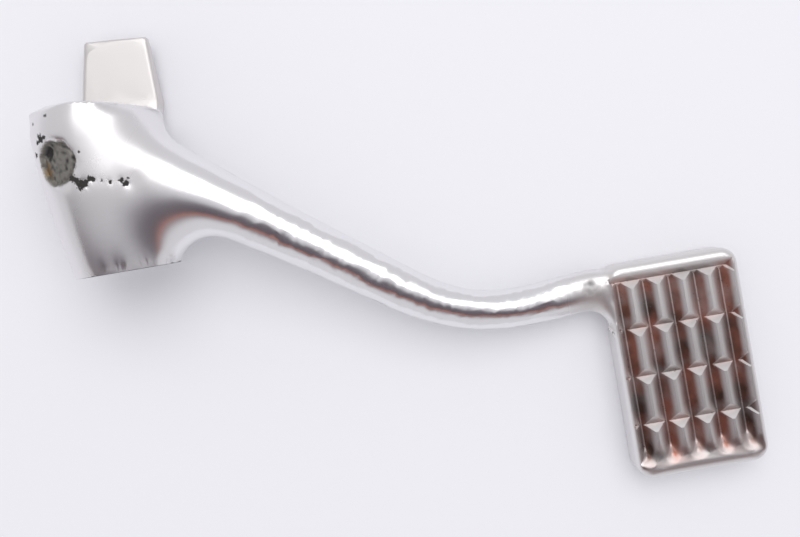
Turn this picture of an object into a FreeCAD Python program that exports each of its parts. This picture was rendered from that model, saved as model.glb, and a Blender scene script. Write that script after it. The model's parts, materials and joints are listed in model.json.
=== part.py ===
import FreeCAD, Part
import math
import os

import Sketcher

# A foot brake pedal, cast in one piece: a tapered boss that turns on a spindle, a lug behind the boss,
# a round arm that sweeps forward and outward, and a pad with a cut tread.
# The origin is on the spindle axis. +X is forward, +Y is inboard and +Z is up, the way the tread faces.
# Lengths are in millimetres and angles in degrees.

SIZES = {
    # Boss: a cone turned on an axis that leans a little from the bore's, and trimmed to length
    "boss_outboard_reach": 23.9,
    "boss_inboard_reach": 20.6,
    "boss_outboard_radius": 13.7,
    "boss_inboard_radius": 17.8,
    "boss_lean": 2.4,
    "boss_offset": 0.7,
    "inboard_skew": 9.7,
    "rim_round": 1.2,
    "bore_radius": 11.5,
    # Lug: a wedge that grows out of the boss below its bore and stands out past the inboard end
    "lug_clearance": 0.5,
    "lug_tip_reach": 41.8,
    "lug_base_reach": 22.0,
    "lug_root_reach": 6.0,
    "lug_tip_left": 5.6,
    "lug_tip_right": 12.5,
    "lug_base_left": 9.6,
    "lug_base_right": 13.0,
    "lug_root_half_width": 7.5,
    "lug_tip_thickness": 3.5,
    "lug_skew": 4.2,
    "lug_round": 1.3,
    "lug_tip_round": 0.8,
    # Arm: a straight run out of the boss, one bend, and a straight run into the pad.
    # The places of the flare, the neck and the waist are shares of the first run.
    "arm_root_reach": 9.8,
    "arm_root_height": 5.0,
    "arm_sweep": 35.5,
    "arm_bend_radius": 50.0,
    "arm_end_offset": 52.4,
    "arm_root_radius": 9.6,
    "arm_flare_at": 0.2,
    "arm_flare_radius": 9.6,
    "arm_neck_at": 0.5,
    "arm_neck_radius": 7.6,
    "arm_waist_at": 0.9,
    "arm_waist_radius": 6.3,
    "arm_end_radius": 5.5,
    "arm_end_depth": 4.5,
    "arm_blend": 10.0,
    "arm_pad_blend": 7.0,
    # Pad: a rounded plate whose inboard edge lines up with the arm
    "pad_rear": 128.4,
    "pad_width": 37.2,
    "pad_inboard": 45.7,
    "pad_length": 60.4,
    "pad_thickness": 11.0,
    "rest_depth": 18.6,
    "pad_corner": 4.5,
    "pad_edge_round": 2.4,
    "pad_foot_round": 1.5,
    # Tread: long grooves from rear to front of the pad, crossed by shorter ones
    "tread_slope": 33.0,
    "groove_floor": 0.4,
    "groove_margin": 3.0,
    "ridge_pitch": 7.25,
    "ridge_land": 0.7,
    "groove_count": 5,
    "tread_inboard_border": 2.6,
    "tread_outboard_border": 3.4,
    "cross_margin": 4.8,
    "cross_pitch": 13.5,
    "cross_width": 4.3,
    "cross_count": 4,
    "cross_rear_margin": 2.1,
    "cross_front_margin": 1.2,
}

NODE = "brake_pedal"
SAME_PLACE = 0.01

document = FreeCAD.newDocument(NODE)


def make_sheet():
    """Put every driving size in a sheet, one row each, under its own name."""
    sheet = document.addObject("Spreadsheet::Sheet", "Sizes")
    for row, (name, value) in enumerate(SIZES.items(), start=1):
        sheet.set(f"A{row}", name)
        sheet.set(f"B{row}", str(value))
        sheet.setAlias(f"B{row}", name)
    document.recompute()
    return sheet


sheet = make_sheet()
body = document.addObject("PartDesign::Body", NODE)
body.Label = NODE
body.Placement = FreeCAD.Placement()


def size(name):
    """Read one size back from the sheet."""
    return float(sheet.get(name))


def origin_plane(role):
    return next(plane for plane in body.Origin.OriginFeatures if plane.Role == role)


def new_sketch(name, role, placement=FreeCAD.Placement()):
    """An empty sketch on one of the body's own planes, moved by a placement in that plane's frame."""
    sketch = body.newObject("Sketcher::SketchObject", name)
    sketch.AttachmentSupport = (origin_plane(role), [""])
    sketch.MapMode = "FlatFace"
    sketch.AttachmentOffset = placement
    return sketch


def tie_point(sketch, line, end, across, up):
    """Hold the start (1) or end (2) of a line at two expressions from the sketch's origin."""
    for kind, expression in (("DistanceX", across), ("DistanceY", up)):
        point = sketch.Geometry[line].StartPoint if end == 1 else sketch.Geometry[line].EndPoint
        value = point.x if kind == "DistanceX" else point.y
        index = sketch.addConstraint(Sketcher.Constraint(kind, -1, 1, line, end, value))
        sketch.setExpression(f"Constraints[{index}]", expression)


def add_outline(sketch, corners):
    """A closed outline of straight lines. Each corner is a pair of expressions in the sheet's sizes."""
    points = [FreeCAD.Vector(sketch.evalExpression(x), sketch.evalExpression(y), 0) for x, y in corners]
    count = len(points)
    for index in range(count):
        sketch.addGeometry(Part.LineSegment(points[index], points[(index + 1) % count]))
    for index in range(count):
        sketch.addConstraint(Sketcher.Constraint("Coincident", index, 2, (index + 1) % count, 1))
    for index, (x, y) in enumerate(corners):
        tie_point(sketch, index, 1, x, y)


def edge_names(shape, test):
    """The names of the edges for which the test holds."""
    return [f"Edge{i}" for i, edge in enumerate(shape.Edges, start=1) if test(edge)]


def middle_of(edge):
    return edge.valueAt((edge.FirstParameter + edge.LastParameter) / 2)


def lies_on(shape):
    """A test for edges whose middle lies on the given shape's skin."""
    def test(edge):
        spot = Part.Vertex(middle_of(edge))
        return min(face.distToShape(spot)[0] for face in shape.Faces) < SAME_PLACE
    return test


def on_pad_at(height):
    """A test for the pad's edges that lie all in one level plane."""
    def test(edge):
        box = edge.BoundBox
        level = abs(box.ZMin - height) < SAME_PLACE and abs(box.ZMax - height) < SAME_PLACE
        return level and box.XMin > size("pad_rear") - SAME_PLACE
    return test


def round_edges(name, names, radius):
    """Round the named edges of the body as it stands, with a radius from the sheet."""
    base = body.Tip
    feature = body.newObject("PartDesign::Fillet", name)
    feature.Base = (base, names)
    feature.setExpression("Radius", f"Sizes.{radius}")
    document.recompute()


def make_boss():
    """Turn the cone on its leaning axis, trim both ends to length, and round the inboard rim."""
    lean = FreeCAD.Rotation(FreeCAD.Vector(0, 0, 1), size("boss_lean"))
    profile = new_sketch("boss_profile", "XY_Plane", FreeCAD.Placement(FreeCAD.Vector(), lean))
    profile.setExpression("AttachmentOffset.Base.x", "-Sizes.boss_offset")
    length = "(Sizes.boss_inboard_reach + Sizes.boss_outboard_reach)"
    spare = "Sizes.boss_inboard_radius / 2"
    low = f"-Sizes.boss_outboard_reach - {spare}"
    high = f"Sizes.boss_inboard_reach + {spare}"
    flare = f"(Sizes.boss_inboard_radius - Sizes.boss_outboard_radius) / {length} * {spare}"
    # The profile is on the far side of the axis from the arm, to keep the cone's seam away from the blend
    add_outline(profile, [
        ("0", low),
        (f"{flare} - Sizes.boss_outboard_radius", low),
        (f"-Sizes.boss_inboard_radius - {flare}", high),
        ("0", high),
    ])
    boss = body.newObject("PartDesign::Revolution", "boss")
    boss.Profile = profile
    boss.ReferenceAxis = (profile, ["V_Axis"])
    boss.Angle = 360
    document.recompute()

    half = "(2 * Sizes.boss_inboard_radius)"
    rise = f"{half} * tan(Sizes.inboard_skew)"
    trims = {
        "inboard_trim": [
            (f"-{half}", f"Sizes.boss_inboard_reach + {rise}"),
            (half, f"Sizes.boss_inboard_reach - {rise}"),
            (half, f"2 * {length}"),
            (f"-{half}", f"2 * {length}"),
        ],
        "outboard_trim": [
            (f"-{half}", f"-2 * {length}"),
            (half, f"-2 * {length}"),
            (half, "-Sizes.boss_outboard_reach"),
            (f"-{half}", "-Sizes.boss_outboard_reach"),
        ],
    }
    for name, corners in trims.items():
        outline = new_sketch(f"{name}_outline", "XY_Plane")
        add_outline(outline, corners)
        trim = body.newObject("PartDesign::Pocket", name)
        trim.Profile = outline
        trim.Type = "ThroughAll"
        trim.Midplane = True
        document.recompute()

    def on_rim(edge):
        return edge.BoundBox.YMin > 0 and edge.Length > 2 * size("boss_inboard_radius")

    round_edges("rim", edge_names(body.Shape, on_rim), "rim_round")


def add_rounded_outline(sketch, left, right, low, high, radius):
    """A rectangle with round corners. Its sides and its radius are expressions in the sheet's sizes."""
    x0, x1, y0, y1, r = (sketch.evalExpression(text) for text in (left, right, low, high, radius))
    v = FreeCAD.Vector
    axis = v(0, 0, 1)
    lines = [
        (v(x0 + r, y0), v(x1 - r, y0)),
        (v(x1, y0 + r), v(x1, y1 - r)),
        (v(x1 - r, y1), v(x0 + r, y1)),
        (v(x0, y1 - r), v(x0, y0 + r)),
    ]
    centres = [v(x1 - r, y0 + r), v(x1 - r, y1 - r), v(x0 + r, y1 - r), v(x0 + r, y0 + r)]
    for start, end in lines:
        sketch.addGeometry(Part.LineSegment(start, end))
    for index, centre in enumerate(centres):
        first = math.radians(90 * (index - 1))
        sketch.addGeometry(Part.ArcOfCircle(Part.Circle(centre, axis, r), first, first + math.pi / 2))
    for index in range(4):
        sketch.addConstraint(Sketcher.Constraint("Tangent", index, 2, index + 4, 1))
        sketch.addConstraint(Sketcher.Constraint("Tangent", index + 4, 2, (index + 1) % 4, 1))
    for index in (0, 2):
        sketch.addConstraint(Sketcher.Constraint("Horizontal", index))
    for index in (1, 3):
        sketch.addConstraint(Sketcher.Constraint("Vertical", index))
    for index in (5, 6, 7):
        sketch.addConstraint(Sketcher.Constraint("Equal", 4, index))
    sides = [
        ("DistanceY", 0, y0, low),
        ("DistanceX", 1, x1, right),
        ("DistanceY", 2, y1, high),
        ("DistanceX", 3, x0, left),
    ]
    for kind, line, value, expression in sides:
        index = sketch.addConstraint(Sketcher.Constraint(kind, -1, 1, line, 1, value))
        sketch.setExpression(f"Constraints[{index}]", expression)
    index = sketch.addConstraint(Sketcher.Constraint("Radius", 4, r))
    sketch.setExpression(f"Constraints[{index}]", radius)


def make_lug():
    """Loft the wedge from a root inside the boss, past its base at the rim, to its thin tip."""
    upright = FreeCAD.Rotation(FreeCAD.Vector(1, 0, 0), 90)
    top = "-Sizes.bore_radius - Sizes.lug_clearance"

    def section(name, reach, turn, left, right, under, above):
        swing = FreeCAD.Rotation(FreeCAD.Vector(0, 0, 1), -turn)
        place = FreeCAD.Placement(FreeCAD.Vector(0, reach, 0), swing * upright)
        sketch = new_sketch(f"lug_{name}", "XY_Plane", place)
        add_rounded_outline(sketch, left, right, under, above, "Sizes.lug_round")
        return sketch

    half = "Sizes.lug_root_half_width"
    root_under = f"{top} - Sizes.lug_round"
    root_above = f"{top} + 2 * (Sizes.boss_outboard_radius - Sizes.bore_radius)"
    root = section("root", -size("lug_root_reach"), 0, f"-{half}", half, root_under, root_above)
    base_sides = ("-Sizes.lug_base_left", "Sizes.lug_base_right")
    base = section("base", size("lug_base_reach"), 0, *base_sides, "-Sizes.rest_depth", top)
    tip_sides = ("-Sizes.lug_tip_left", "Sizes.lug_tip_right")
    tip_under = f"{top} - Sizes.lug_tip_thickness"
    tip = section("tip", size("lug_tip_reach"), size("lug_skew"), *tip_sides, tip_under, top)
    lug = body.newObject("PartDesign::AdditiveLoft", "lug")
    lug.Profile = root
    lug.Sections = [base, tip]
    lug.Ruled = True
    document.recompute()
    near_tip = (size("lug_base_reach") + size("lug_tip_reach")) / 2

    def at_tip(edge):
        return edge.BoundBox.YMin > near_tip

    round_edges("lug_end", edge_names(body.Shape, at_tip), "lug_tip_round")


def make_pad():
    """Raise the plate from its underside and round its upper and lower edges."""
    outline = new_sketch("pad_outline", "XY_Plane")
    outline.setExpression("AttachmentOffset.Base.z", "-Sizes.rest_depth")
    add_rounded_outline(
        outline,
        "Sizes.pad_rear",
        "Sizes.pad_rear + Sizes.pad_width",
        "-Sizes.pad_inboard - Sizes.pad_length",
        "-Sizes.pad_inboard",
        "Sizes.pad_corner",
    )
    pad = body.newObject("PartDesign::Pad", "pad")
    pad.Profile = outline
    pad.setExpression("Length", "Sizes.pad_thickness")
    document.recompute()
    underside = -size("rest_depth")
    upside = underside + size("pad_thickness")
    round_edges("pad_upper_edge", edge_names(body.Shape, on_pad_at(upside)), "pad_edge_round")
    round_edges("pad_lower_edge", edge_names(body.Shape, on_pad_at(underside)), "pad_foot_round")


def cut_grooves(name, left, right, low, high, width, count, pitch, axis):
    """Cut one groove with sloping walls and ends into the pad's top, and repeat it along an axis."""
    top = "Sizes.pad_thickness - Sizes.rest_depth"
    outline = new_sketch(f"{name}_outline", "XY_Plane")
    outline.setExpression("AttachmentOffset.Base.z", top)
    add_outline(outline, [(left, low), (right, low), (right, high), (left, high)])
    groove = body.newObject("PartDesign::Pocket", name)
    groove.Profile = outline
    groove.Type = "Length"
    groove.setExpression("Length", f"({width} - Sizes.groove_floor) / 2 * tan(Sizes.tread_slope)")
    groove.setExpression("TaperAngle", "Sizes.tread_slope - 90")
    document.recompute()
    pattern = body.newObject("PartDesign::LinearPattern", f"{name}_row")
    pattern.Originals = [groove]
    pattern.Direction = (outline, [axis])
    pattern.Mode = "Spacing"
    pattern.setExpression("Offset", pitch)
    pattern.setExpression("Occurrences", count)
    body.Tip = pattern
    document.recompute()


def make_tread():
    """Cut the long grooves between the ridges, then the shorter grooves across them."""
    ridge_gap = "(Sizes.ridge_pitch - Sizes.ridge_land)"
    first = "Sizes.pad_rear + Sizes.groove_margin"
    cut_grooves(
        "long_groove",
        f"{first} - {ridge_gap} / 2",
        f"{first} + {ridge_gap} / 2",
        "-Sizes.pad_inboard - Sizes.pad_length + Sizes.tread_outboard_border",
        "-Sizes.pad_inboard - Sizes.tread_inboard_border",
        ridge_gap,
        "Sizes.groove_count",
        "Sizes.ridge_pitch",
        "H_Axis",
    )
    last = "-Sizes.pad_inboard - Sizes.cross_margin - (Sizes.cross_count - 1) * Sizes.cross_pitch"
    cut_grooves(
        "cross_groove",
        "Sizes.pad_rear + Sizes.cross_rear_margin",
        "Sizes.pad_rear + Sizes.pad_width - Sizes.cross_front_margin",
        f"{last} - Sizes.cross_width / 2",
        f"{last} + Sizes.cross_width / 2",
        "Sizes.cross_width",
        "Sizes.cross_count",
        "Sizes.cross_pitch",
        "V_Axis",
    )


def add_ellipse(sketch, half_width, half_depth):
    """An ellipse on the sketch's origin, wide along its X axis, its half sizes tied to the sheet."""
    wide = sketch.evalExpression(half_width)
    deep = sketch.evalExpression(half_depth)
    centre = FreeCAD.Vector()
    ellipse = sketch.addGeometry(Part.Ellipse(FreeCAD.Vector(wide, 0), FreeCAD.Vector(0, deep), centre))
    sketch.exposeInternalGeometry(ellipse)
    sketch.addConstraint(Sketcher.Constraint("Coincident", ellipse, 3, -1, 1))
    sketch.addConstraint(Sketcher.Constraint("Horizontal", ellipse + 1))
    for line, expression in ((ellipse + 1, half_width), (ellipse + 2, half_depth)):
        length = sketch.Geometry[line].length()
        index = sketch.addConstraint(Sketcher.Constraint("Distance", line, length))
        sketch.setExpression(f"Constraints[{index}]", f"2 * {expression}")


class ArmPath:
    """The arm's centre line: straight from the boss, round one bend, then straight forward to the pad."""

    def __init__(self):
        self.sweep = math.radians(size("arm_sweep"))
        self.start = FreeCAD.Vector(0, size("arm_root_reach"), 0)
        self.heading = FreeCAD.Vector(math.cos(self.sweep), -math.sin(self.sweep), 0)
        self.radius = size("arm_bend_radius")
        corner_run = (size("arm_root_reach") + size("arm_end_offset")) / math.sin(self.sweep)
        tangent = self.radius * math.tan(self.sweep / 2)
        self.first_run = corner_run - tangent
        self.bend_run = self.radius * self.sweep
        self.bend_end_x = corner_run * math.cos(self.sweep) + tangent
        end_x = size("pad_rear") + size("pad_corner")
        self.length = self.first_run + self.bend_run + end_x - self.bend_end_x
        end_height = size("pad_thickness") / 2 - size("rest_depth")
        self.fall = (size("arm_root_height") - end_height) / end_x

    def station(self, run):
        """The point and the heading, in plan, after a run along the centre line."""
        if run <= self.first_run:
            return self.start + self.heading * run, self.sweep
        if run <= self.first_run + self.bend_run:
            left = self.sweep - (run - self.first_run) / self.radius
            x = self.bend_end_x - self.radius * math.sin(left)
            y = -size("arm_end_offset") + self.radius * (1 - math.cos(left))
            return FreeCAD.Vector(x, y, 0), left
        x = self.bend_end_x + run - self.first_run - self.bend_run
        return FreeCAD.Vector(x, -size("arm_end_offset"), 0), 0.0

    def placement(self, run):
        """A section's frame: X level and across the arm, Z along a line that falls to the pad."""
        point, angle = self.station(run)
        point.z = size("arm_root_height") - self.fall * point.x
        along = FreeCAD.Vector(math.cos(angle), -math.sin(angle), -self.fall * math.cos(angle))
        across = FreeCAD.Vector(math.sin(angle), math.cos(angle), 0)
        return FreeCAD.Placement(point, FreeCAD.Rotation(across, FreeCAD.Vector(), along, "ZXY"))


def make_arm():
    """Loft the arm through its sections and blend it into the boss and the pad."""
    path = ArmPath()
    bend_start = path.first_run
    bend_end = path.first_run + path.bend_run
    sections = [
        ("root", 0.0, "Sizes.arm_root_radius", "Sizes.arm_root_radius"),
        ("flare", size("arm_flare_at") * bend_start, "Sizes.arm_flare_radius", "Sizes.arm_flare_radius"),
        ("neck", size("arm_neck_at") * bend_start, "Sizes.arm_neck_radius", "Sizes.arm_neck_radius"),
        ("waist", size("arm_waist_at") * bend_start, "Sizes.arm_waist_radius", "Sizes.arm_waist_radius"),
        ("bend", (bend_start + bend_end) / 2, "Sizes.arm_end_radius", "Sizes.arm_end_radius"),
        ("straight", bend_end, "Sizes.arm_end_radius", "Sizes.arm_end_depth"),
        ("end", path.length, "Sizes.arm_end_radius", "Sizes.arm_end_depth"),
    ]
    outlines = []
    for name, run, half_width, half_depth in sections:
        sketch = new_sketch(f"arm_{name}", "XY_Plane", path.placement(run))
        add_ellipse(sketch, half_width, half_depth)
        outlines.append(sketch)
    apart = body.Shape.copy()
    arm = body.newObject("PartDesign::AdditiveLoft", "arm")
    arm.Profile = outlines[0]
    arm.Sections = outlines[1:]
    document.recompute()
    on_arm = lies_on(arm.AddSubShape)
    on_rest = lies_on(apart)
    middle = size("pad_rear") / 2

    def meets_boss(edge):
        return edge.BoundBox.XMax < middle and on_arm(edge) and on_rest(edge)

    round_edges("arm_boss_blend", edge_names(body.Shape, meets_boss), "arm_blend")

    def meets_pad(edge):
        return edge.BoundBox.XMin > middle and on_arm(edge) and on_rest(edge)

    round_edges("arm_pad_blend", edge_names(body.Shape, meets_pad), "arm_pad_blend")


def make_bore():
    """Bore the boss from end to end for its spindle."""
    outline = new_sketch("bore_outline", "XZ_Plane")
    round_hole = Part.Circle(FreeCAD.Vector(), FreeCAD.Vector(0, 0, 1), size("bore_radius"))
    circle = outline.addGeometry(round_hole)
    outline.addConstraint(Sketcher.Constraint("Coincident", circle, 3, -1, 1))
    index = outline.addConstraint(Sketcher.Constraint("Radius", circle, size("bore_radius")))
    outline.setExpression(f"Constraints[{index}]", "Sizes.bore_radius")
    bore = body.newObject("PartDesign::Pocket", "bore")
    bore.Profile = outline
    bore.Type = "Length"
    bore.Midplane = True
    longer_reach = "max(Sizes.boss_inboard_reach; Sizes.boss_outboard_reach)"
    bore.setExpression("Length", f"2 * ({longer_reach} + Sizes.boss_inboard_radius)")
    document.recompute()


def check_shapes():
    """Stop unless every object was built and every shape is sound."""
    for item in document.Objects:
        if "Invalid" in item.State or "Error" in item.State:
            raise RuntimeError(f"{item.Name} was not built: {item.getStatusString()}")
        if hasattr(item, "Shape") and (item.Shape.isNull() or not item.Shape.isValid()):
            raise RuntimeError(f"{item.Name} has no sound shape")
    if len(body.Shape.Solids) != 1:
        raise RuntimeError(f"{NODE} is not one solid")


make_boss()
make_lug()
make_pad()
make_arm()
make_tread()
make_bore()
check_shapes()
print(NODE, round(body.Shape.Volume), "mm3")
os.makedirs("parts", exist_ok=True)
body.Shape.exportStep(f"parts/{NODE}.step")
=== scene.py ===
# %% [markdown]
# # A cast foot brake pedal
# The real object is one aluminium casting: a tapered boss that turns on a spindle, a lug behind it, a round
# arm and a pad with a cut tread. It was polished by hand and has worn since, so it is bright on the arm,
# dull where a polishing wheel could not reach, pitted where the casting was porous, and dirty in the tread.
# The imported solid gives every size. This lesson takes a copy of its mesh, adds what the foundry and the
# years did to the surface, and dresses it in one metal.

import json
import math

import bmesh
import bpy
import numpy as np
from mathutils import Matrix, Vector, noise

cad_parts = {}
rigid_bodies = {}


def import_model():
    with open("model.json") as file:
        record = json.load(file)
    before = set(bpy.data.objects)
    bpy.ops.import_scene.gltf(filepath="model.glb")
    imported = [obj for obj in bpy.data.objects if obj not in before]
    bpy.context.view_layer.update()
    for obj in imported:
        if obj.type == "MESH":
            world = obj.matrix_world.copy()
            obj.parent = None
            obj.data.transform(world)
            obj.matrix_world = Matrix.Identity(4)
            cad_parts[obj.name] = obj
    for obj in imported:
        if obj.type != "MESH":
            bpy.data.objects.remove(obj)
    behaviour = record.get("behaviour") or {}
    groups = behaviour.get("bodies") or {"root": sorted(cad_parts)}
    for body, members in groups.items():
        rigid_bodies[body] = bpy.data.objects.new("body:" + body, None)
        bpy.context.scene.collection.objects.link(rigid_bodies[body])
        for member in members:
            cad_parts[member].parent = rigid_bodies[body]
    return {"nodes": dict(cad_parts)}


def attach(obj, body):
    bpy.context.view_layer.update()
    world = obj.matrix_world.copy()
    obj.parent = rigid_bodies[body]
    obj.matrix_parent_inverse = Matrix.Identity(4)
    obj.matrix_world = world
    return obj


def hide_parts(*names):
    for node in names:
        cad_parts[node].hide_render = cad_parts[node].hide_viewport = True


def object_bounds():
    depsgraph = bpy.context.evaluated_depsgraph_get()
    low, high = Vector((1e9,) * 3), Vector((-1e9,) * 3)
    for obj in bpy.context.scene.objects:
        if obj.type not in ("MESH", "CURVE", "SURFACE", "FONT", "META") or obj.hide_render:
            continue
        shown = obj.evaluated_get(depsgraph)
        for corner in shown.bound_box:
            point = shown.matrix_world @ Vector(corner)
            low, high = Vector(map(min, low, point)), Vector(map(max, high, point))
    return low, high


for leftover in list(bpy.data.objects):
    bpy.data.objects.remove(leftover)

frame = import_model()
cad_low, cad_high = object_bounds()
MM = 0.001
NODE = "brake_pedal"
print("CAD box, mm:", [round(side / MM, 1) for side in cad_high - cad_low])

# %% [markdown]
# ## A clean copy of the casting
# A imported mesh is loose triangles. Its doubles are merged to make one closed skin, and the copy is kept in
# millimetres, so that the sizes below read as they would on a drawing.

# %% Copy the casting
MERGE_GAP = 0.001


def merged_copy(node):
    """The CAD node's mesh as one closed skin of triangles, in millimetres."""
    copy = bmesh.new()
    copy.from_mesh(node.data)
    bmesh.ops.scale(copy, vec=Vector((1, 1, 1)) / MM, verts=copy.verts)
    bmesh.ops.remove_doubles(copy, verts=copy.verts, dist=MERGE_GAP)
    return copy


skin = merged_copy(frame["nodes"][NODE])
print("merged skin:", len(skin.verts), "vertices,", len(skin.faces), "triangles")

# %% [markdown]
# ## How a skin gets short edges
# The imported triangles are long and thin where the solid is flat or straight, while dents and pits need short
# edges. So long edges are halved, in a few rounds, and each triangle beside a halved edge is cut into two,
# three or four to match, which keeps the skin closed.

# %% Split helpers
SPLIT_ROUNDS = 6
TINY = 1e-12


def edges_of(faces):
    """Every edge once, as a pair of points, and which edge each side of each triangle is."""
    sides = np.stack((faces, np.roll(faces, -1, axis=1)), axis=2).reshape(-1, 2)
    edges, which = np.unique(np.sort(sides, axis=1), axis=0, return_inverse=True)
    return edges, which.reshape(-1, 3)


def cut_to_match(faces, middles):
    """New triangles for those that have a middle point, not -1, on one, two or three of their sides.

    A triangle's corners are a, b and c, and the middles of its sides are ab, bc and ca.
    """
    halved = middles >= 0
    count = halved.sum(axis=1)
    made = [faces[count == 0]]
    for first in range(3):
        turn = np.roll(np.arange(3), -first)
        one = (count == 1) & halved[:, first]
        a, b, c = faces[one][:, turn].T
        ab = middles[one, first]
        made += [np.stack(corners, axis=1) for corners in ((a, ab, c), (ab, b, c))]
        two = (count == 2) & ~halved[:, turn[2]]
        a, b, c = faces[two][:, turn].T
        ab, bc = middles[two][:, turn[:2]].T
        made += [np.stack(corners, axis=1) for corners in ((ab, b, bc), (a, ab, bc), (a, bc, c))]
    a, b, c = faces[count == 3].T
    ab, bc, ca = middles[count == 3].T
    inner = ((a, ab, ca), (ab, b, bc), (ca, bc, c), (ab, bc, ca))
    made += [np.stack(corners, axis=1) for corners in inner]
    return np.concatenate(made)


def halve_long_edges(places, faces, inside, longest):
    """Halve the edges that are longer than a length and have their middle inside a zone, in rounds."""
    for _ in range(SPLIT_ROUNDS):
        edges, which = edges_of(faces)
        middles = places[edges].mean(axis=1)
        lengths = np.linalg.norm(places[edges[:, 0]] - places[edges[:, 1]], axis=1)
        chosen = (lengths > longest) & inside(middles)
        added = np.where(chosen, len(places) + np.cumsum(chosen) - 1, -1)
        places = np.concatenate((places, middles[chosen]))
        faces = cut_to_match(faces, added[which])
    return places, faces


def point_normals(places, faces):
    """The mean outward direction at each point."""
    first, second, third = (places[faces[:, corner]] for corner in range(3))
    facing = np.cross(second - first, third - first)
    at = faces.ravel()
    sums = [np.bincount(at, np.repeat(facing[:, axis], 3), len(places)) for axis in range(3)]
    total = np.stack(sums, axis=1)
    return total / np.maximum(np.linalg.norm(total, axis=1), TINY)[:, None]


print("edges are halved in up to", SPLIT_ROUNDS, "rounds")

# %% [markdown]
# ## Where things are
# Zones are in the part's own frame, in millimetres: X forward, Y along the spindle, Z up. A test on a point
# says whether it is in a zone.

# %% Zones of the casting
BOSS_FRONT = 32.0
PAD_REAR = 128.4
PAD_TOP = -7.6
TREAD_DEPTH = 3.0
CRATER = Vector((-8.9, 6.0, 14.3))
CRATER_FACING = Vector((-0.52, -0.11, 0.85)).normalized()
CRATER_RADIUS = 6.0
CRATER_ZONE = 1.4 * CRATER_RADIUS
PIT_BAND = (Vector((-8.0, -4.0, 8.0)), Vector((12.0, 4.0, 20.0)))
JUNCTION = Vector((123.5, -56.5, -10.0))
JUNCTION_REACH = 11.0


def in_box(place, box):
    return all(low < value < high for low, value, high in zip(box[0], place, box[1]))


print("boss behind X", BOSS_FRONT, "mm, pad in front of X", PAD_REAR, "mm")

# %% [markdown]
# ## Deeper notches across the ridges
# The cutter that crossed the ridges went in steeper than the solid's plain notch, so each ridge is a row of
# hipped blocks. The skin is cut along the notch's own planes first, which puts edges where the new creases
# will be, and the points above the planes then drop onto them.

# %% Deepen the notches
NOTCHES = (-50.5, -64.0, -77.5, -91.0)
NOTCH_HALF = 2.15
NOTCH_DEPTH = 1.75
NOTCH_FRONT = 164.4
NOTCH_END_SLOPE = 0.8
NOTCH_MARGIN = 0.1
NOTCH_REAR = PAD_REAR + 1.0
ON_PLANE = 0.0001


def notch_height(place, middle):
    """How high the notch's walls let the skin be at a place."""
    across = NOTCH_DEPTH * (1.0 - abs(place.y - middle) / NOTCH_HALF)
    front = NOTCH_END_SLOPE * (NOTCH_FRONT - place.x)
    return PAD_TOP - max(min(across, front), 0.0)


def deepen_notch(copy, middle):
    """Cut the skin along one notch's two walls and its floor, then drop what stands above them."""
    planes = [(Vector((0, middle, 0)), Vector((0, 1, 0)))]
    for side in (-1, 1):
        rim = Vector((0, middle + side * NOTCH_HALF, PAD_TOP))
        planes.append((rim, Vector((0, NOTCH_DEPTH, -side * NOTCH_HALF))))
    zone = (
        Vector((NOTCH_REAR, middle - NOTCH_HALF - NOTCH_MARGIN, PAD_TOP - TREAD_DEPTH)),
        Vector((NOTCH_FRONT, middle + NOTCH_HALF + NOTCH_MARGIN, PAD_TOP + NOTCH_MARGIN)),
    )
    for place, facing in planes:
        geometry = [*copy.verts, *copy.edges, *copy.faces]
        bmesh.ops.bisect_plane(copy, geom=geometry, plane_co=place, plane_no=facing, dist=ON_PLANE)
        bmesh.ops.triangulate(copy, faces=[face for face in copy.faces if len(face.verts) > 3])
    for corner in copy.verts:
        if in_box(corner.co, zone):
            corner.co.z = min(corner.co.z, notch_height(corner.co, middle))


for middle in NOTCHES:
    deepen_notch(skin, middle)
print("notches deepened:", len(NOTCHES))

# %% [markdown]
# ## Short edges where shape is added
# The boss and the tread change all over, the crater and the pores in fine detail. Each zone has its own
# longest edge, in millimetres. The bore's wall stays as the solid has it.

# %% Split the skin
BORE_WALL = 12.3


def near_to(middle, reach):
    """A test for places that are close to a middle and not on the bore's wall."""
    def inside(places):
        off_bore = np.hypot(places[:, 0], places[:, 2]) > BORE_WALL
        return (np.linalg.norm(places - np.array(middle), axis=1) < reach) & off_bore
    return inside


def in_boss(places):
    return (places[:, 0] < BOSS_FRONT) & (np.hypot(places[:, 0], places[:, 2]) > BORE_WALL)


def in_tread_zone(places):
    return (places[:, 0] > PAD_REAR) & (places[:, 2] > PAD_TOP - TREAD_DEPTH)


def in_pit_band(places):
    low, high = np.array(PIT_BAND[0]), np.array(PIT_BAND[1])
    return np.all((places > low) & (places < high), axis=1) & in_boss(places)


LONGEST_EDGES = [
    (in_boss, 1.9),
    (in_tread_zone, 1.6),
    (near_to(JUNCTION, JUNCTION_REACH), 1.0),
    (near_to(CRATER, CRATER_ZONE), 0.5),
    (in_pit_band, 0.5),
]
skin.verts.index_update()
points = np.array([vertex.co for vertex in skin.verts])
faces = np.array([[vertex.index for vertex in face.verts] for face in skin.faces])
skin.free()
for zone, longest in LONGEST_EDGES:
    points, faces = halve_long_edges(points, faces, zone, longest)
    print("edges up to", longest, "mm:", len(faces), "triangles")

# %% [markdown]
# ## Moving points with arrays
# The points are rows of one array, which is quick to change by formula. `fade` gives a smooth step, `ragged`
# a repeatable noise value for each point, and `relax` evens out a skin along its edges.

# %% Array helpers
PULL = 0.5
links = edges_of(faces)[0]
print("edges:", len(links))


def fade(start, end, values):
    """0 before start, 1 after end, and smooth between them."""
    share = np.clip((values - start) / (end - start), 0.0, 1.0)
    return share * share * (3.0 - 2.0 * share)


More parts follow.
